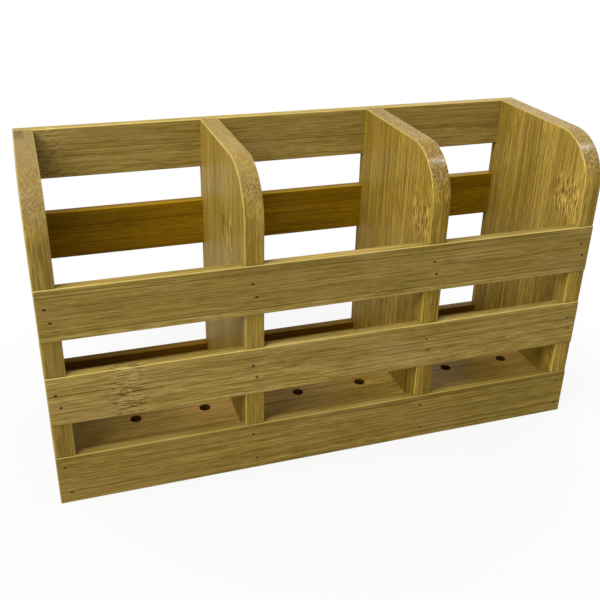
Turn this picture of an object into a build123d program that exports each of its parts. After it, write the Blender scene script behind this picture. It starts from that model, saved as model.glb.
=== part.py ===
from build123d import *
import os

# A free-standing bamboo caddy: four upright panels, joined by six slats that are let into
# their edges and nailed, with a drained floor board in each of the three compartments.
# Origin: middle of the footprint, on the surface it stands on. +X right, +Y back, +Z up.

# Uprights: two end panels and two dividers, cut to one outline
panel_thickness = 10.0
panel_height = 166.0
panel_depth = 95.0
corner_radius = 27.0          # rounded top front corner
panel_ease = 1.2              # rounding along both sides of the outline
compartment_widths = (86.0, 86.0, 78.0)     # clear, from left to right

# Slats
slat_thickness = 5.5
slat_width = 26.5             # the upper slats, front and back
bottom_slat_width = 28.0
slat_gap = 19.0               # open height from one slat to the next
slat_proud = 0.5              # how far a slat's face stands out of the panel edge
slat_ease = 0.7
notch_play = 0.2              # each notch is this much higher than its slat

# Floor boards, housed in grooves in the panels' faces
floor_thickness = 8.0
floor_height = 23.0           # top of the boards
groove_depth = 2.5
groove_play = 0.2
drain_diameter = 6.0
drain_spacing_across = 37.5
drain_spacing_deep = 36.0
drain_shifts = (9.0, 4.0, 5.0)              # how far each board is drilled right of its middle

# Brads: flat-sided wire nails with a small head and a chisel point
brad_length = 20.0
brad_width = 1.0
brad_wire = 0.8
brad_head_width = 1.4
brad_head_height = 1.1
brad_head_thickness = 0.6
brad_point = 2.0
brad_tip = 0.2                # thickness of the chisel point at its end
brad_set = 0.5                # depth of the head below the slat's face
brad_fit = 0.03               # room round a brad in its hole
upper_brad_spacing = 7.0
bottom_brad_spacing = 15.5
brad_stagger = 1.8            # the two brads of a pair stand this far aside, so no fibre splits

overall_length = sum(compartment_widths) + panel_thickness * (len(compartment_widths) + 1)
front_edge = -panel_depth / 2
slat_face = panel_depth / 2 + slat_proud
slat_back = slat_face - slat_thickness      # a slat's inner face, on the floor of its notch
left_faces = [-overall_length / 2 + i * panel_thickness + sum(compartment_widths[:i])
              for i in range(len(compartment_widths) + 1)]
panel_middles = [face + panel_thickness / 2 for face in left_faces]
front, back = -1, 1


class Slat:
    """One slat: which side it is on, the height of its lower edge, its width and its nailing."""

    def __init__(self, side, bottom, width, brad_spacing):
        self.side = side
        self.bottom = bottom
        self.top = bottom + width
        self.brad_places = [(-share * brad_stagger, bottom + width / 2 + share * brad_spacing)
                            for share in (-0.5, 0.5)]


def lay_out_slats():
    """The front slats are spaced up from the bottom one, the back slats down from the top one."""
    front_middle = bottom_slat_width + slat_gap
    front_top = front_middle + slat_width + slat_gap
    back_top = panel_height - slat_width
    back_middle = back_top - slat_gap - slat_width
    return {
        "front_bottom": Slat(front, 0, bottom_slat_width, bottom_brad_spacing),
        "front_middle": Slat(front, front_middle, slat_width, upper_brad_spacing),
        "front_top": Slat(front, front_top, slat_width, upper_brad_spacing),
        "back_bottom": Slat(back, 0, bottom_slat_width, bottom_brad_spacing),
        "back_middle": Slat(back, back_middle, slat_width, upper_brad_spacing),
        "back_top": Slat(back, back_top, slat_width, upper_brad_spacing),
    }


slats = lay_out_slats()


def box_between(low, high):
    """A box given by its lowest and highest corners."""
    size = [b - a for a, b in zip(low, high)]
    return Pos(*low) * Box(*size, align=(Align.MIN, Align.MIN, Align.MIN))


def brad(across, height, side, room=0.0):
    """A brad driven square into a slat's face, or, grown by room, the hole it makes."""
    head_front = 0.0 if room else brad_set      # the hole is open to the slat's face
    shank_end = brad_length + brad_set - brad_point

    def section(depth, width, thickness):
        plane = Plane(origin=(0, 0, depth), x_dir=(1, 0, 0), z_dir=(0, 0, 1))
        return plane * Rectangle(width + 2 * room, thickness + 2 * room)

    head_end = brad_set + brad_head_thickness + room
    head = extrude(section(head_front, brad_head_width, brad_head_height), head_end - head_front)
    shank = extrude(section(head_end, brad_width, brad_wire), shank_end - head_end)
    point = loft([section(shank_end, brad_width, brad_wire),
                  section(shank_end + brad_point, brad_width, brad_tip)])
    turn = Rot(-90, 0, 0) if side == front else Rot(90, 0, 0)
    return Pos(across, side * slat_face, height) * turn * (head + shank + point)


def brads_of(slat, room=0.0):
    """Every brad through one slat: two into each upright."""
    return [brad(middle + aside, height, slat.side, room)
            for middle in panel_middles for aside, height in slat.brad_places]


def panel_blank():
    """The outline of an upright, rounded at its top front corner and eased all round."""
    low = (front_edge, 0)
    with BuildSketch(Plane.YZ) as outline:
        with BuildLine():
            Polyline(low, (-front_edge, 0), (-front_edge, panel_height),
                     (front_edge + corner_radius, panel_height))
            RadiusArc((front_edge + corner_radius, panel_height),
                      (front_edge, panel_height - corner_radius), -corner_radius)
            Line((front_edge, panel_height - corner_radius), low)
        make_face()
    blank = extrude(outline.sketch, panel_thickness)
    around = blank.edges().filter_by(lambda edge: edge.bounding_box().size.X < panel_thickness / 2)
    return fillet(around, panel_ease)


def slat_notches():
    """The notches for all six slats, open to the panel's edge; the floor is the slat's back."""
    notches = []
    for slat in slats.values():
        top = slat.top + notch_play
        reach = sorted((slat.side * slat_back, slat.side * (slat_face + slat_ease)))
        notches.append(box_between((-panel_thickness, reach[0], slat.bottom),
                                   (2 * panel_thickness, reach[1], top)))
    return notches


def floor_groove(face, into):
    """A groove that houses a floor board's end, cut from a panel's face at x = face."""
    reach = sorted((face, face + into * groove_depth))
    return box_between((reach[0], -slat_back, floor_height - floor_thickness),
                       (reach[1], slat_back, floor_height + groove_play))


def upright(index):
    """Panel number index from the left, with its notches, grooves and brad holes."""
    left = left_faces[index]
    panel = panel_blank()
    for notch in slat_notches():
        panel -= notch
    if index > 0:
        panel -= floor_groove(0, 1)
    if index < len(compartment_widths):
        panel -= floor_groove(panel_thickness, -1)
    panel = Pos(left, 0, 0) * panel
    for slat in slats.values():
        for aside, height in slat.brad_places:
            panel -= brad(panel_middles[index] + aside, height, slat.side, brad_fit)
    return panel


def slat_board(slat):
    """A slat with eased edges and a hole at each brad, its sawn ends flush with the end panels."""
    reach = sorted((slat.side * slat_back, slat.side * slat_face))
    board = box_between((-overall_length / 2, reach[0], slat.bottom),
                        (overall_length / 2, reach[1], slat.top))
    board = fillet(board.edges().filter_by(Axis.X), slat_ease)
    for hole in brads_of(slat, brad_fit):
        board -= hole
    return board


def floor_board(index):
    """The floor of compartment number index, between the slats, with its four drain holes."""
    left = left_faces[index] + panel_thickness
    right = left + compartment_widths[index]
    held = groove_depth - groove_play
    board = box_between((left - held, -slat_back, floor_height - floor_thickness),
                        (right + held, slat_back, floor_height))
    middle = (left + right) / 2 + drain_shifts[index]
    drill = Cylinder(drain_diameter / 2, 2 * floor_thickness)
    for place in GridLocations(drain_spacing_across, drain_spacing_deep, 2, 2):
        board -= Pos(middle, 0, floor_height - floor_thickness / 2) * place * drill
    return board


def all_pieces():
    """Every piece of the caddy by its name."""
    pieces = {}
    for index, name in enumerate(("left_end_panel", "left_divider", "right_divider", "right_end_panel")):
        pieces[name] = upright(index)
    for name, slat in slats.items():
        pieces[name + "_slat"] = slat_board(slat)
        pieces[name + "_brads"] = Compound(brads_of(slat))
    for index, name in enumerate(("left", "middle", "right")):
        pieces[name + "_floor_board"] = floor_board(index)
    return pieces


os.makedirs("parts", exist_ok=True)
for name, piece in all_pieces().items():
    piece.label = name
    export_step(piece, f"parts/{name}.step")
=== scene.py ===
import math

import bmesh
import bpy
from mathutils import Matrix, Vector


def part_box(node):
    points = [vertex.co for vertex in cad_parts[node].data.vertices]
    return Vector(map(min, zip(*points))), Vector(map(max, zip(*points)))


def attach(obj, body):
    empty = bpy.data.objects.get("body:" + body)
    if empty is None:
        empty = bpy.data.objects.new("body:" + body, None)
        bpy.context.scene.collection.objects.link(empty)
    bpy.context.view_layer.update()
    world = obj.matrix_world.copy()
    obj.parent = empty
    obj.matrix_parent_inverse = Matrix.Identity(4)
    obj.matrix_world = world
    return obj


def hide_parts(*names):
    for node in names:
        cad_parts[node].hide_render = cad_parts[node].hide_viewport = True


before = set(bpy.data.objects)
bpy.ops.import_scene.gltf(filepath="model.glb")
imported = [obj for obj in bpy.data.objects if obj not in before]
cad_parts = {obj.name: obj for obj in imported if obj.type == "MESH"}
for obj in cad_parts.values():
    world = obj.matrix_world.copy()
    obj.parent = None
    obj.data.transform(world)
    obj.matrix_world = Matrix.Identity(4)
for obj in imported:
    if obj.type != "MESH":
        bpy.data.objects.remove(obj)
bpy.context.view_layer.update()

mm = 0.001
scene = bpy.context.scene
scene.view_settings.view_transform = "Standard"
print("frame loaded:", len(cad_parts), "nodes")


# node trees are written as plain maths with the two classes below

class Wire:
    # a socket that can be added, multiplied and so on; each sign adds one maths node
    def __init__(self, sheet, socket):
        self.sheet, self.socket = sheet, socket

    def __add__(self, other):
        return self.sheet.maths("ADD", self, other)

    def __radd__(self, other):
        return self.sheet.maths("ADD", other, self)

    def __sub__(self, other):
        return self.sheet.maths("SUBTRACT", self, other)

    def __rsub__(self, other):
        return self.sheet.maths("SUBTRACT", other, self)

    def __mul__(self, other):
        return self.sheet.maths("MULTIPLY", self, other)

    def __rmul__(self, other):
        return self.sheet.maths("MULTIPLY", other, self)

    def __truediv__(self, other):
        return self.sheet.maths("DIVIDE", self, other)

    def __rtruediv__(self, other):
        return self.sheet.maths("DIVIDE", other, self)


class Sheet:
    # one node tree, for a material or for geometry
    def __init__(self, tree):
        self.tree = tree

    def add(self, kind, settings=None, values=None, result=0):
        node = self.tree.nodes.new(kind)
        for name, value in (settings or {}).items():
            setattr(node, name, value)
        for name, value in (values or {}).items():
            self.feed(node.inputs[name], value)
        return Wire(self, node.outputs[result] if len(node.outputs) else None)

    def feed(self, socket, value):
        if isinstance(value, list):                          # several links into one socket
            for single in value:
                self.feed(socket, single)
        elif isinstance(value, Wire):
            self.tree.links.new(value.socket, socket)
        elif value is not None:
            socket.default_value = value

    def isVector(self, value):
        if isinstance(value, Wire):
            return value.socket.type == "VECTOR"
        return isinstance(value, (tuple, Vector))

    def maths(self, operation, *values):
        # a plain maths node, or a vector one where a value is a vector
        vectors = [self.isVector(value) for value in values]
        if operation == "MULTIPLY" and vectors[0] != vectors[1]:
            arrow, number = values if vectors[0] else values[::-1]
            return self.add("ShaderNodeVectorMath", {"operation": "SCALE"},
                            {0: arrow, "Scale": number})
        kind = "ShaderNodeVectorMath" if any(vectors) else "ShaderNodeMath"
        return self.add(kind, {"operation": operation}, dict(enumerate(values)))

    def split(self, vector):
        node = self.add("ShaderNodeSeparateXYZ", {}, {0: vector}).socket.node
        return [Wire(self, socket) for socket in node.outputs]

    def join(self, x, y, z):
        return self.add("ShaderNodeCombineXYZ", {}, {0: x, 1: y, 2: z})

    def stretch(self, value, low, high, bottom, top, kind="LINEAR"):
        # bottom at low to top at high, in a straight line
        return self.add("ShaderNodeMapRange", {"interpolation_type": kind},
                        {0: value, 1: low, 2: high, 3: bottom, 4: top})

    def ease(self, value, low, high, bottom=0.0, top=1.0):
        # the same as a smooth step; where low is above high, it falls
        return self.stretch(value, low, high, bottom, top, "SMOOTHSTEP")

    def mix(self, share, first, second, blend="MIX"):
        # sockets 6 and 7 and result 2 are the colours of a Mix node
        settings = {"data_type": "RGBA", "blend_type": blend, "clamp_factor": True}
        return self.add("ShaderNodeMix", settings, {0: share, 6: first, 7: second}, 2)

    def noise(self, vector, detail=2.0, roughness=0.5):
        return self.add("ShaderNodeTexNoise", {"noise_dimensions": "3D"},
                        {"Vector": vector, "Scale": 1.0, "Detail": detail,
                         "Roughness": roughness})


def colour(red, green, blue):
    # a colour as a screen shows it, from 0 to 255, for a socket
    def linear(value):
        share = value / 255
        return share / 12.92 if share <= 0.04045 else ((share + 0.055) / 1.055) ** 2.4
    return (linear(red), linear(green), linear(blue), 1.0)


# what the bamboo is coloured with, from its pale and dark fibres to glue lines and ends, with
# painted highlight and painted shade on its edges

bambooTones = {
    "pale": colour(182, 157, 88),
    "honey": colour(154, 129, 64),
    "olive": colour(122, 101, 44),
    "tan": colour(162, 134, 82),
    "streak": colour(92, 70, 24),
    "glue": colour(78, 56, 20),
    "endPale": colour(132, 113, 72),
    "endBrown": colour(112, 92, 56),
    "endDark": colour(70, 53, 30),
    # a pale yellow, also painted as highlight on sawn faces, eased corners and knuckle glints
    "bright": colour(200, 178, 106),
    # a dark brown, painted as shade on narrow sides
    "sideShade": colour(74, 36, 10),
}

# how often each layer of the pattern changes in a millimetre along, across and through the
# grain, then its detail and roughness

bambooLayers = {
    "drift": (0.012, 0.05, 0.05, 2.0, 0.5),
    "swirl": (0.22, 0.5, 0.3, 2.0, 0.5),
    "broad": (0.006, 0.16, 0.16, 2.0, 0.5),
    "band": (0.025, 0.7, 0.7, 2.0, 0.5),
    "thread": (0.1, 1.25, 1.25, 3.0, 0.7),
    "hair": (0.011, 1.5, 1.5, 1.0, 0.5),
    "patch": (0.02, 0.04, 0.1, 2.0, 0.5),
}

# where each mark starts to show, and where it shows in full

bambooMarks = {
    "dot": (0.42, 0.16), "pith": (0.5, 0.75),
    "pale": (0.5, 1.15), "tan": (0.45, 0.7), "streak": (0.235, 0.15),
    "darkHair": (0.57, 0.68), "paleHair": (0.43, 0.32),
    "fleck": (0.5, 0.6), "glint": (0.48, 0.4), "nearKnuckle": (0.0, 0.8),
    "upward": (0.15, 0.6), "curved": (0.995, 0.85),
    "sawn": (0.75, 0.95), "eased": (0.35, 0.95), "narrow": (0.7, 0.3),
}

# how strongly each mark shows, where that is the same on every board

bambooAmounts = {
    "dot": 0.12, "glue": 0.55, "knuckle": 0.25, "rim": 0.45, "rimFade": 0.8,
    "endShade": 0.55, "endStrips": 0.35, "endPatches": 1.2,
    "endDots": 0.8, "endDotsByStrip": 0.4, "endDotsByBrown": 0.4, "flatDots": 0.4,
    "pith": 0.25, "pithByBrown": 0.6, "brownEnd": 0.4, "brownEndDots": 0.5,
    "stripFade": 0.4, "plyFade": 0.3,
    "bundlePerMm": 0.012, "glueCore": 0.3, "knuckleCore": 0.7, "fleckRoughness": 0.6,
}

# the sheen of the bamboo, and how deep each layer lies in it

bambooFinish = {
    "roughness": 0.5, "roughBands": 0.25, "roughDots": 0.1, "coatRoughness": 0.2, "specular": 0.03,
    "threadHeight": 0.5, "bandHeight": 0.6, "dotDepth": 0.35, "glueDepth": 0.5, "bump": 0.15 * mm,
}


def bamboo(name, look):
    # laminated bamboo: grain along one axis, in bundles that show as streaks, or as dots on an end
    material = bpy.data.materials.new(name)
    material.use_nodes = True
    material.node_tree.nodes.clear()
    sheet = Sheet(material.node_tree)
    tones, marks, amounts, finish = bambooTones, bambooMarks, bambooAmounts, bambooFinish
    seed = look["seed"]
    place = sheet.add("ShaderNodeTexCoord", {}, {}, "Object")
    facing = sheet.add("ShaderNodeTexCoord", {}, {}, "Normal")
    spots = sheet.split((place - tuple(look["start"])) * (1 / mm))
    sides = sheet.split(facing)
    order = ["xyz".index(axis) for axis in look["axes"]]
    along, across, through = [spots[index] for index in order]
    faceAlong, faceAcross, faceThrough = [sheet.maths("ABSOLUTE", sides[index]) for index in order]

    def layer(title, side, shift):
        # one layer of the pattern; 0.5 is its middle
        perAlong, perSide, perThrough, detail, roughness = bambooLayers[title]
        spot = sheet.join(along * perAlong, side * perSide, through * perThrough + shift)
        return sheet.noise(spot, detail, roughness)

    fibre = across + (layer("drift", across, seed) - 0.5) * look["drift"]
    knuckle = 0.0
    for spot, middle, reach in look["knuckles"]:
        near = sheet.ease(sheet.maths("ABSOLUTE", along - spot), look["knuckleLength"], 0.0)
        beside = sheet.ease(sheet.maths("ABSOLUTE", across - middle),
                            reach, reach * amounts["knuckleCore"])
        knuckle = near * beside + knuckle
    if look["knuckles"]:
        fibre = fibre + (layer("swirl", across, seed) - 0.5) * knuckle * look["knuckleSwirl"]

    # strips, side by side and in plies
    ply = sheet.maths("FLOOR", through / look["ply"])
    strip = (fibre + ply * look["plyShift"] + look["stripShift"]) / look["strip"]
    number = sheet.maths("FLOOR", strip)
    tone = sheet.add("ShaderNodeTexWhiteNoise", {"noise_dimensions": "2D"},
                     {"Vector": sheet.join(number + seed, ply, 0.0)}, "Value")
    toGlue = sheet.maths("PINGPONG", strip, 0.5) * look["strip"]
    glue = sheet.ease(toGlue, look["glueLine"], look["glueLine"] * amounts["glueCore"])

    # fibres, from wide bands down to hairlines, and the bundles they run in
    broad = layer("broad", fibre, seed)
    band = layer("band", fibre, seed)
    thread = layer("thread", fibre, seed)
    hair = layer("hair", fibre, -seed)
    patch = layer("patch", fibre, seed * 2.0)
    bundleSpot = sheet.join(along * amounts["bundlePerMm"], fibre * look["bundles"],
                            through * look["bundles"] + seed)
    bundle = sheet.add("ShaderNodeTexVoronoi", {"voronoi_dimensions": "3D", "feature": "F1"},
                       {"Vector": bundleSpot, "Scale": 1.0, "Randomness": 1.0}, "Distance")
    dot = sheet.ease(bundle, *marks["dot"])

    # the long sides
    rim = sheet.ease(across, look["rim"], look["rim"] + amounts["rimFade"])
    shade = 0.5 + (tone - 0.5) * look["stripContrast"] + (broad + band - 1) * look["bands"]
    shade = shade + (thread - 0.5) * look["threads"] - rim * amounts["rim"]
    streak = sheet.ease(band * thread, *marks["streak"])
    body = sheet.mix(shade, tones["olive"], tones["honey"])
    body = sheet.mix(sheet.ease(shade, *marks["pale"]), body, tones["pale"])
    body = sheet.mix(sheet.ease(patch, *marks["tan"]) * look["tan"], body, tones["tan"])
    body = sheet.mix(streak * look["streaks"] + dot * amounts["dot"], body, tones["streak"])
    body = sheet.mix(sheet.ease(hair, *marks["darkHair"]) * look["hairs"], body, tones["streak"])
    body = sheet.mix(sheet.ease(hair, *marks["paleHair"]) * look["hairs"], body, tones["pale"])
    body = sheet.mix(glue * amounts["glue"], body, tones["glue"])
    if look["knuckles"]:
        tall, wide = look["fleckSize"]
        fleck = sheet.noise(sheet.join(along / tall, across / wide, through + seed),
                            roughness=amounts["fleckRoughness"])
        onKnuckle = sheet.ease(knuckle, *marks["nearKnuckle"])
        flecks = sheet.ease(fleck, *marks["fleck"]) * onKnuckle
        glint = sheet.ease(fleck, *marks["glint"]) * onKnuckle
        body = sheet.mix(knuckle * amounts["knuckle"], body, tones["tan"])
        body = sheet.mix(flecks * look["knuckleDark"], body, tones["glue"])
        body = sheet.mix(glint * look["knuckleBright"], body, tones["bright"])

    # end grain; a flat top is sanded smoother than a curve
    brown = look["endBrown"]
    upward = sheet.ease(faceAlong, *marks["upward"])
    curved = sheet.ease(faceAlong, *marks["curved"])
    endShade = amounts["endShade"] + (tone - 0.5) * amounts["endStrips"]
    endShade = endShade + (patch - 0.5) * amounts["endPatches"] - brown
    stripDots = amounts["endDots"] - tone * amounts["endDotsByStrip"]
    endDots = dot * (stripDots + brown * amounts["endDotsByBrown"])
    endDots = endDots * (amounts["flatDots"] + curved * (1 - amounts["flatDots"]))
    pith = sheet.ease(bundle, *marks["pith"]) * (amounts["pith"] + brown * amounts["pithByBrown"])
    end = sheet.mix(endShade, tones["endBrown"], tones["endPale"])
    end = sheet.mix(endDots, end, tones["endDark"])
    end = sheet.mix(pith, end, tones["pale"])
    if look["darkEnd"]:
        back, thick = look["darkEnd"]                        # one strip whose end is browner
        behind = sheet.ease(across, back - amounts["stripFade"], back + amounts["stripFade"])
        inner = sheet.ease(through, thick + amounts["plyFade"], thick - amounts["plyFade"])
        darkening = amounts["brownEnd"] + dot * amounts["brownEndDots"]
        end = sheet.mix(behind * inner * darkening, end, tones["endDark"])
    body = sheet.mix(upward * look["endGrain"], body, end)

    # sawn faces and eased corners, painted lighter: partly paler wood and partly a painted
    # highlight; then the narrow sides and the board's tint
    sawn = sheet.ease(faceAcross, *marks["sawn"]) * look["sawnBright"]
    sideways = sheet.maths("SQRT", sheet.maths("MAXIMUM", 1 - faceThrough * faceThrough, 0.0))
    eased = sheet.ease(sideways * faceThrough * 2, *marks["eased"]) * look["easedBright"]
    body = sheet.mix(sawn, body, tones["bright"])
    body = sheet.mix(eased, body, tones["bright"])
    # narrow sides painted darker: on the floor boards this is painted shade in the drain holes
    body = sheet.mix(sheet.ease(faceThrough, *marks["narrow"]) * look["edgeDark"],
                     body, tones["sideShade"])
    # the board's tint; on the back middle and bottom slats it partly paints shade, on the right
    # floor board it paints light
    body = sheet.mix(1.0, body, look["tint"], "MULTIPLY")

    roughness = finish["roughness"] + (band - 0.5) * finish["roughBands"]
    roughness = roughness + dot * finish["roughDots"]
    height = thread * finish["threadHeight"] + band * finish["bandHeight"]
    height = height - dot * finish["dotDepth"] - glue * finish["glueDepth"]
    bump = sheet.add("ShaderNodeBump", {}, {"Strength": look["relief"],
                                            "Distance": finish["bump"], "Height": height})
    surface = sheet.add("ShaderNodeBsdfPrincipled", {},
                        {"Base Color": body, "Roughness": roughness, "Normal": bump,
                         "Coat Weight": look["lacquer"] + upward * curved * look["endLacquer"],
                         "Coat Roughness": finish["coatRoughness"],
                         "Specular IOR Level": finish["specular"]})
    sheet.add("ShaderNodeOutputMaterial", {}, {"Surface": surface})
    return material


# a plain board, with lengths in mm; each board below names only what differs on it

plainBoard = {
    "axes": "xzy",                                           # what is along, across and through
    "seed": 0.0,
    "strip": 19.0, "stripShift": 0.0, "stripContrast": 0.35,
    "ply": 6.0, "plyShift": 7.0, "glueLine": 0.45,
    "drift": 1.8, "bands": 0.4, "threads": 1.5, "hairs": 0.4, "streaks": 0.3, "tan": 0.5,
    "bundles": 1.0,
    "knuckles": [],                                          # place along, across, half its width
    "knuckleLength": 9.0, "knuckleSwirl": 3.0, "knuckleDark": 0.6, "knuckleBright": 0.3,
    "fleckSize": (4.0, 0.7),
    "endGrain": 1.0, "endBrown": 0.0, "endLacquer": 0.12,
    "darkEnd": None,                                         # from here back, and up to this thick
    # painted highlight, partly paler wood, on sawn faces and eased corners; painted shade on the
    # narrow sides
    "sawnBright": 0.05, "easedBright": 0.55, "edgeDark": 0.0,
    "rim": 1000.0,                                           # where a darker rim starts, if at all
    "relief": 0.25, "lacquer": 0.02, "tint": (1.0, 1.03, 1.02, 1.0),
}


def boardLook(node, **changes):
    # the pattern of a board starts at the board's own lowest corner
    return {**plainBoard, "start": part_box(node)[0], **changes}


sharpAngle = 42                                              # degrees, past which an edge is sharp


def finishPiece(piece, node, material):
    # shading and body of a piece that stands for a node of the same name
    mesh = piece.data
    mesh.materials.clear()
    mesh.materials.append(material)
    mesh.polygons.foreach_set("use_smooth", [True] * len(mesh.polygons))
    mesh.set_sharp_from_angle(angle=math.radians(sharpAngle))
    weigh = piece.modifiers.new("weigh", "WEIGHTED_NORMAL")
    weigh.keep_sharp = True
    bakeModifiers(piece)
    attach(piece, "root")
    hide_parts(node)


def bakeModifiers(piece):
    # turns the evaluated object into its own plain mesh
    bpy.context.view_layer.update()
    graph = bpy.context.evaluated_depsgraph_get()
    made = bpy.data.meshes.new_from_object(piece.evaluated_get(graph),
                                           preserve_all_data_layers=True, depsgraph=graph)
    piece.modifiers.clear()
    piece.data = made
    made.name = piece.name


def newPiece(name, mesh):
    piece = bpy.data.objects.new(name, mesh)
    scene.collection.objects.link(piece)
    return piece


# slats and floor boards: a box with eased edges, cut at each point of its starting mesh

boardInputs = [
    ("Low", "NodeSocketVector", (0.0, 0.0, 0.0)),
    ("High", "NodeSocketVector", (1.0, 1.0, 1.0)),
    ("Ease", "NodeSocketFloat", 0.7 * mm),
    ("Wave", "NodeSocketFloat", 0.1 * mm),
    ("Seed", "NodeSocketFloat", 0.0),
    ("Cells X", "NodeSocketInt", 48),
    ("Cells Y", "NodeSocketInt", 10),
    ("Cells Z", "NodeSocketInt", 14),
    ("Round Cutter", "NodeSocketBool", False),
    ("Cutter Size", "NodeSocketVector", (mm, mm, mm)),
    ("Shank Size", "NodeSocketVector", (mm, mm, mm)),
    ("Material", "NodeSocketMaterial", None),
]
boardMesh = {"easeCells": 3, "rippleScale": 28.0, "holeSides": 40}


def growBoardTree():
    tree = bpy.data.node_groups.new("easedBoard", "GeometryNodeTree")
    tree.interface.new_socket(name="Geometry", in_out="INPUT", socket_type="NodeSocketGeometry")
    for name, kind, start in boardInputs:
        socket = tree.interface.new_socket(name=name, in_out="INPUT", socket_type=kind)
        if start is not None:
            socket.default_value = start
    tree.interface.new_socket(name="Geometry", in_out="OUTPUT", socket_type="NodeSocketGeometry")
    sheet = Sheet(tree)
    entry = sheet.add("NodeGroupInput").socket.node
    value = {socket.name: Wire(sheet, socket) for socket in entry.outputs if socket.name}

    half = (value["High"] - value["Low"]) * 0.5
    middle = (value["High"] + value["Low"]) * 0.5
    cube = sheet.add("GeometryNodeMeshCube", {},
                     {"Size": (2.0, 2.0, 2.0), "Vertices X": value["Cells X"],
                      "Vertices Y": value["Cells Y"], "Vertices Z": value["Cells Z"]})
    spots = sheet.split(sheet.add("GeometryNodeInputPosition"))
    moved = []
    for spot, reach, cells in zip(spots, sheet.split(half), ("Cells X", "Cells Y", "Cells Z")):
        # the last few rows of the cube close up inside the eased edge
        start = 1 - 2 * boardMesh["easeCells"] / (value[cells] - 1)
        size = sheet.maths("ABSOLUTE", spot)
        flat = sheet.stretch(size, 0.0, start, 0.0, reach - value["Ease"])
        edge = sheet.stretch(size, start, 1.0, 0.0, value["Ease"])
        moved.append((flat + edge) * sheet.maths("SIGN", spot))
    spread = sheet.join(*moved)
    inner = half - sheet.join(value["Ease"], value["Ease"], value["Ease"])
    core = sheet.maths("MINIMUM", sheet.maths("MAXIMUM", spread, inner * -1.0), inner)
    out = sheet.add("ShaderNodeVectorMath", {"operation": "NORMALIZE"}, {0: spread - core})
    ripple = sheet.noise(spread * boardMesh["rippleScale"] + sheet.join(value["Seed"], 0.0, 0.0))
    rounded = core + out * (value["Ease"] - value["Wave"] * ripple)
    board = sheet.add("GeometryNodeSetPosition", {},
                      {"Geometry": cube, "Position": rounded + middle})

    # a stepped cutter for a brad's head and shank, or a round one for a drain hole
    head = sheet.add("GeometryNodeMeshCube", {}, {"Size": value["Cutter Size"]})
    shank = sheet.add("GeometryNodeMeshCube", {}, {"Size": value["Shank Size"]})
    stepped = sheet.add("GeometryNodeJoinGeometry", {}, {"Geometry": [shank, head]})
    tube = sheet.add("GeometryNodeMeshCylinder", {},
                     {"Vertices": boardMesh["holeSides"], "Radius": 0.5, "Depth": 1.0})
    tube = sheet.add("GeometryNodeTransform", {},
                     {"Geometry": tube, "Scale": value["Cutter Size"]})
    cutter = sheet.add("GeometryNodeSwitch", {"input_type": "GEOMETRY"},
                       {"Switch": value["Round Cutter"], "False": stepped, "True": tube})
    cutters = sheet.add("GeometryNodeInstanceOnPoints", {},
                        {"Points": value["Geometry"], "Instance": cutter})
    cutters = sheet.add("GeometryNodeRealizeInstances", {}, {"Geometry": cutters})
    cut = sheet.add("GeometryNodeMeshBoolean", {"operation": "DIFFERENCE", "solver": "EXACT"},
                    {"Mesh 1": board, "Mesh 2": cutters, "Self Intersection": True})
    cut = sheet.add("GeometryNodeRealizeInstances", {}, {"Geometry": cut})
    done = sheet.add("GeometryNodeSetMaterial", {},
                     {"Geometry": cut, "Material": value["Material"]})
    sheet.add("NodeGroupOutput", {}, {"Geometry": done})
    return tree


boardTree = growBoardTree()


def growBoard(node, slot, material, points, **inputs):
    # one board of the tree above, in the place of a node, with a cutter at each point
    low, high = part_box(node)
    start = bpy.data.meshes.new(node)
    start.from_pydata(points, [], [])
    piece = newPiece("cut_" + node, start)
    grow = piece.modifiers.new("grow", "NODES")
    grow.node_group = boardTree
    values = {"Low": low, "High": high, "Material": material, **inputs}
    for item in boardTree.interface.items_tree:
        if item.in_out == "INPUT" and item.name in values:
            grow[item.identifier] = values[item.name]
    bakeModifiers(piece)
    finishPiece(piece, node, material)


uprights = ["left_end_panel", "left_divider", "right_divider", "right_end_panel"]
uprightMiddles = [sum(corner.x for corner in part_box(node)) / 2 for node in uprights]

brads = {
    "headWidth": 1.4 * mm, "headHeight": 1.1 * mm, "headDepth": 1.15 * mm, "headPlay": 0.06 * mm,
    "shankWidth": 1.06 * mm, "shankHeight": 0.86 * mm,
}


def bradPlaces(node):
    # the middle of each brad's head, worked out from the box that the node's eight brads fill
    low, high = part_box(node)
    heights = (low.z + brads["headHeight"] / 2, high.z - brads["headHeight"] / 2)
    aside = uprightMiddles[0] - (low.x + brads["headWidth"] / 2)
    return [(middle + shift, height) for middle in uprightMiddles
            for shift, height in zip((aside, -aside), heights)]


slats = {
    "front_top_slat": {"seed": 3.1, "stripShift": 15.5, "rim": 23.6, "threads": 1.7},
    "front_middle_slat": {
        "seed": 8.4, "stripShift": 3.0, "threads": 1.7, "knuckles": [(38.0, 13.0, 20.0)],
        "knuckleLength": 15.0, "fleckSize": (5.0, 0.65), "knuckleDark": 0.8,
    },
    "front_bottom_slat": {
        "seed": 14.7, "stripShift": 12.5, "rim": 26.2, "threads": 1.7, "easedBright": 0.35,
        "tint": (0.89, 0.9, 0.78, 1.0),
    },
    "back_top_slat": {
        "seed": 21.3, "stripShift": 7.0, "threads": 1.15, "hairs": 0.3, "knuckleDark": 0.4,
        "knuckles": [(18.0, 13.0, 20.0)],
    },
    # the back middle and bottom slats are tinted darker and browner: partly a browner bamboo,
    # partly painted shade inside the caddy
    "back_middle_slat": {
        "seed": 27.9, "stripShift": 1.0, "threads": 1.3, "bands": 0.3,
        "tint": (0.8, 0.64, 0.07, 1.0),
    },
    "back_bottom_slat": {"seed": 33.2, "stripShift": 9.0, "tint": (0.52, 0.39, 0.08, 1.0)},
}


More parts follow.
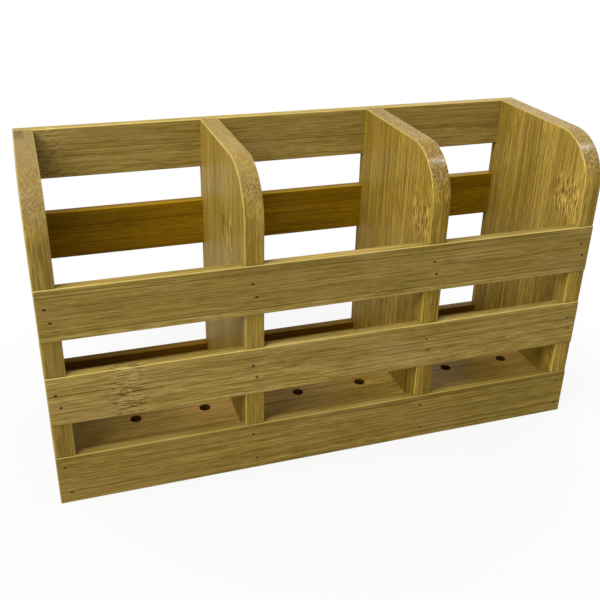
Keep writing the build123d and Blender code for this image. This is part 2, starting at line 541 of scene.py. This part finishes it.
def makeSlats():
    headSize = (brads["headWidth"] + brads["headPlay"], 2 * brads["headDepth"],
                brads["headHeight"] + brads["headPlay"])
    for node, changes in slats.items():
        low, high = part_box(node)
        face = low.y if node.startswith("front") else high.y
        places = [(x, face, z) for x, z in bradPlaces(node.replace("_slat", "_brads"))]
        shankLength = 4 * (high.y - low.y)                   # goes right through the slat
        material = bamboo("bamboo_" + node, boardLook(node, **changes))
        growBoard(node, "slat_bamboo", material, places, **{
            "Seed": changes["seed"],
            "Cutter Size": headSize,
            "Shank Size": (brads["shankWidth"], shankLength, brads["shankHeight"]),
        })
        print("slat:", node)


# each floor board's tint; the right one is made lighter as painted light, making up for less light
# on the right compartment's floor
floorBoards = {
    "left_floor_board": {"seed": 41.0, "stripShift": 4.0, "tint": (1.08, 1.03, 0.88, 1.0)},
    "middle_floor_board": {"seed": 47.5, "stripShift": 13.0, "tint": (1.12, 1.08, 0.9, 1.0)},
    "right_floor_board": {"seed": 52.8, "stripShift": 8.0, "tint": (1.26, 1.22, 1.0, 1.0)},
}
# the floor boards' narrow sides, the drain holes' walls among them, get painted shade
floorGrain = {"axes": "xyz", "tan": 0.9, "edgeDark": 0.8}
floorMesh = {"Ease": 0.3 * mm, "Cells X": 30, "Cells Y": 30, "Cells Z": 10}
drains = {
    "diameter": 6 * mm, "drillLength": 30 * mm, "across": 37.5 * mm, "deep": 36 * mm,
    "shifts": (9 * mm, 4 * mm, 5 * mm),                      # of each board's holes to the right
}


def makeFloorBoards():
    drill = (drains["diameter"], drains["diameter"], drains["drillLength"])
    for (node, changes), shift in zip(floorBoards.items(), drains["shifts"]):
        low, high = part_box(node)
        middle = (low + high) / 2
        places = [(middle.x + shift + i * drains["across"], middle.y + j * drains["deep"], middle.z)
                  for i in (-0.5, 0.5) for j in (-0.5, 0.5)]
        material = bamboo("bamboo_" + node, boardLook(node, **floorGrain, **changes))
        growBoard(node, "floor_bamboo", material, places, **{
            **floorMesh, "Round Cutter": True, "Seed": changes["seed"], "Cutter Size": drill,
        })
        print("floor board:", node)


# end panels and dividers: one outline, eased, then notched for the slats and grooved for the floor

upright = {
    "cornerRadius": 27 * mm, "cornerSteps": 28, "ease": 0.9 * mm, "easeSteps": 4,
    "notchPlay": 0.2 * mm, "groovePlay": 0.2 * mm,
    "overcut": 1 * mm,                                       # how far a cut goes past the board
}
uprightGrain = {
    "axes": "zyx", "ply": 5.0, "plyShift": 8.0, "strip": 17.0, "stripShift": 6.0, "bands": 0.5,
    "bundles": 1.25, "threads": 1.4, "hairs": 0.35, "tan": 0.35, "sawnBright": 0.0,
    "easedBright": 0.35, "knuckleDark": 0.7,
}
glossyGrain = {                                              # the two boards on the right
    "endLacquer": 0.5, "endBrown": 0.35, "stripContrast": 0.55, "threads": 2.0, "hairs": 0.7,
    "bands": 0.3, "knuckleBright": 0.8, "knuckleLength": 18.0, "fleckSize": (6.0, 0.9),
}
uprightLooks = {
    "left_end_panel": {
        "seed": 61.0, "tint": (0.92, 0.92, 0.77, 1.0), "edgeDark": 0.09, "darkEnd": (76.0, 5.0),
    },
    "left_divider": {
        "seed": 66.3, "tint": (1.0, 0.98, 0.72, 1.0), "knuckles": [(125.0, 33.0, 12.0)],
        "knuckleDark": 0.75, "knuckleLength": 17.0, "fleckSize": (11.0, 3.2),
    },
    "right_divider": {
        "seed": 72.9, "tint": (0.92, 0.86, 0.52, 1.0), "knuckles": [(131.0, 11.0, 11.5)],
        **glossyGrain,
    },
    "right_end_panel": {
        "seed": 79.1, "tint": (0.99, 0.95, 0.66, 1.0), "knuckles": [(132.0, 13.0, 13.5)],
        **glossyGrain,
    },
}


def uprightOutline(low, high):
    # from the bottom back corner round to the bottom front one
    radius = upright["cornerRadius"]
    points = [(high.y, low.z), (high.y, high.z)]
    for step in range(upright["cornerSteps"] + 1):
        turn = math.radians(90) * step / upright["cornerSteps"]
        points.append((low.y + radius - radius * math.sin(turn),
                       high.z - radius + radius * math.cos(turn)))
    return points + [(low.y, low.z)]


def uprightBlank(low, high):
    mesh = bmesh.new()
    corners = [mesh.verts.new((low.x, y, z)) for y, z in uprightOutline(low, high)]
    face = mesh.faces.new(corners)
    grown = bmesh.ops.extrude_face_region(mesh, geom=[face])["geom"]
    across = Vector((high.x - low.x, 0, 0))
    bmesh.ops.translate(mesh, vec=across,
                        verts=[part for part in grown if isinstance(part, bmesh.types.BMVert)])
    rims = [edge for edge in mesh.edges
            if abs((edge.verts[0].co - edge.verts[1].co).x) < mm / 2]
    bmesh.ops.bevel(mesh, geom=rims, offset=upright["ease"], segments=upright["easeSteps"],
                    profile=0.5, affect="EDGES")
    bmesh.ops.recalc_face_normals(mesh, faces=mesh.faces)
    made = bpy.data.meshes.new("blank")
    mesh.to_mesh(made)
    mesh.free()
    return made


def boxMesh(low, high):
    low, high = Vector(low), Vector(high)
    mesh = bmesh.new()
    for corner in bmesh.ops.create_cube(mesh, size=1.0)["verts"]:
        spot = Vector(part * length for part, length in zip(corner.co, high - low))
        corner.co = spot + (high + low) / 2
    made = bpy.data.meshes.new("cutters")
    mesh.to_mesh(made)
    mesh.free()
    return made


def uprightCuts(low, high):
    # notches for the slats and grooves for the floor boards, each by its two corners
    past = upright["overcut"]
    cuts = []
    for node in slats:
        slatLow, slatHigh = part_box(node)
        front = node.startswith("front")
        near = slatLow.y - (past if front else 0)
        far = slatHigh.y + (0 if front else past)
        bottom = slatLow.z - (past if slatLow.z < past else 0)
        top = slatHigh.z + upright["notchPlay"]
        cuts.append(((low.x - past, near, bottom), (high.x + past, far, top)))
    for node in floorBoards:
        boardLow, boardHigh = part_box(node)
        if boardLow.x > high.x or boardHigh.x < low.x:
            continue
        left = max(boardLow.x - upright["groovePlay"], low.x - past)
        right = min(boardHigh.x + upright["groovePlay"], high.x + past)
        top = boardHigh.z + upright["groovePlay"]
        cuts.append(((left, boardLow.y, boardLow.z), (right, boardHigh.y, top)))
    return cuts


def makeUprights():
    for node, changes in uprightLooks.items():
        low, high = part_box(node)
        piece = newPiece("shaped_" + node, uprightBlank(low, high))
        for corners in uprightCuts(low, high):
            cutter = newPiece("cutter", boxMesh(*corners))
            cut = piece.modifiers.new("cut", "BOOLEAN")
            cut.object, cut.operation, cut.solver = cutter, "DIFFERENCE", "EXACT"
            bakeModifiers(piece)
            bpy.data.objects.remove(cutter)
        look = boardLook(node, **{**uprightGrain, **changes})
        finishPiece(piece, node, bamboo("bamboo_" + node, look))
        print("upright:", node)


# brads: the solids stay, in dull wire

wire = {
    "steel": colour(44, 34, 20), "rust": colour(52, 30, 12),
    "rustPerMm": 1.7, "rustDetail": 3.0,
    "rustFrom": (0.45, 0.6), "bareFrom": (0.6, 0.45), "metal": 0.4,
    "roughness": 0.7, "roughRust": 0.3,
}


def makeBrads():
    material = bpy.data.materials.new("brad_wire")
    material.use_nodes = True
    material.node_tree.nodes.clear()
    sheet = Sheet(material.node_tree)
    place = sheet.add("ShaderNodeTexCoord", {}, {}, "Object") * (1 / mm)
    rust = sheet.noise(place * wire["rustPerMm"], wire["rustDetail"])
    tone = sheet.mix(sheet.ease(rust, *wire["rustFrom"]), wire["steel"], wire["rust"])
    surface = sheet.add("ShaderNodeBsdfPrincipled", {},
                        {"Base Color": tone,
                         "Metallic": sheet.ease(rust, *wire["bareFrom"]) * wire["metal"],
                         "Roughness": wire["roughness"] + rust * wire["roughRust"]})
    sheet.add("ShaderNodeOutputMaterial", {}, {"Surface": surface})
    rows = [node for name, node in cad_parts.items() if name.endswith("_brads")]
    for node in rows:
        node.data.materials.clear()
        node.data.materials.append(material)
    print("brads:", len(rows), "rows")


# stage: camera in mm and degrees, lamps in metres, floor and room

camera = {"place": (-139.7, -391.9, 283.5), "turn": (62.93, -1.23, -18.4), "lens": 49.9}
lamps = {
    "side": {"place": (-0.8, -0.42, 0.95), "size": 0.8, "power": 15.0, "tone": (1.0, 0.99, 0.96)},
    "above": {"place": (-0.42, -0.12, 1.15), "size": 0.45, "power": 8.5, "tone": (1.0, 0.99, 0.97)},
    "back": {"place": (0.9, 1.0, 0.75), "size": 0.8, "power": 7.0, "tone": (1.0, 0.99, 0.97)},
    "shine": {"place": (0.65, -0.18, 1.05), "size": 0.22, "power": 3.4, "tone": (1.0, 0.98, 1.0)},
}
lampAim = Vector((0, 0, 0.08))
plainWhite = (1.0, 1.0, 1.0, 1.0)
surround = {
    "light": 0.34, "floorSize": 6.0, "floorTone": colour(182, 180, 176),
    "nearWhite": 0.84, "fadeStart": 0.1, "fadeEnd": 0.26,    # the floor turns white further out
}


def makeStage():
    lens = bpy.data.cameras.new("camera")
    lens.lens = camera["lens"]
    view = bpy.data.objects.new("camera", lens)
    view.location = Vector(camera["place"]) * mm
    view.rotation_euler = [math.radians(angle) for angle in camera["turn"]]
    scene.collection.objects.link(view)
    scene.camera = view
    for name, lamp in lamps.items():
        light = bpy.data.lights.new(name, "AREA")
        light.shape, light.size = "SQUARE", lamp["size"]
        light.energy, light.color = lamp["power"], lamp["tone"]
        holder = bpy.data.objects.new(name, light)
        holder.location = lamp["place"]
        aim = lampAim - holder.location
        holder.rotation_euler = aim.to_track_quat("-Z", "Y").to_euler()
        scene.collection.objects.link(holder)
    mesh = bpy.data.meshes.new("floor")
    reach = surround["floorSize"] / 2
    corners = [(-reach, -reach, 0), (reach, -reach, 0), (reach, reach, 0), (-reach, reach, 0)]
    mesh.from_pydata(corners, [], [(0, 1, 2, 3)])
    ground = newPiece("floor", mesh)
    mesh.materials.append(floorMaterial())
    makeWorld()
    print("stage: camera,", len(lamps), "lamps, floor and room")


def seenDirectly(sheet):
    # 1 for what the camera sees, also in a reflection or through glass
    path = sheet.add("ShaderNodeLightPath").socket.node
    straight, mirrored, passed = [
        Wire(sheet, path.outputs[name])
        for name in ("Is Camera Ray", "Is Glossy Ray", "Is Transmission Ray")]
    return sheet.maths("MINIMUM", straight + mirrored + passed, 1.0)


def floorMaterial():
    material = bpy.data.materials.new("floor")
    material.use_nodes = True
    material.node_tree.nodes.clear()
    sheet = Sheet(material.node_tree)
    matt = sheet.add("ShaderNodeBsdfDiffuse", {}, {"Color": surround["floorTone"]})
    white = sheet.add("ShaderNodeEmission", {}, {"Color": plainWhite, "Strength": 1.0})
    place = sheet.add("ShaderNodeTexCoord", {}, {}, "Object")
    away = sheet.add("ShaderNodeVectorMath", {"operation": "LENGTH"}, {0: place}, "Value")
    share = sheet.ease(away, surround["fadeStart"], surround["fadeEnd"],
                       surround["nearWhite"], 1.0)
    both = sheet.add("ShaderNodeMixShader", {}, {0: seenDirectly(sheet) * share,
                                                 1: matt, 2: white})
    sheet.add("ShaderNodeOutputMaterial", {}, {"Surface": both})
    return material


def makeWorld():
    world = bpy.data.worlds.new("room")
    scene.world = world
    world.use_nodes = True
    world.node_tree.nodes.clear()
    sheet = Sheet(world.node_tree)
    dim = sheet.add("ShaderNodeBackground", {},
                    {"Color": plainWhite, "Strength": surround["light"]})
    white = sheet.add("ShaderNodeBackground", {}, {"Color": plainWhite, "Strength": 1.0})
    both = sheet.add("ShaderNodeMixShader", {}, {0: seenDirectly(sheet), 1: dim, 2: white})
    sheet.add("ShaderNodeOutputWorld", {}, {"Surface": both})


makeStage()
makeSlats()
makeFloorBoards()
makeUprights()
makeBrads()
print("finished")
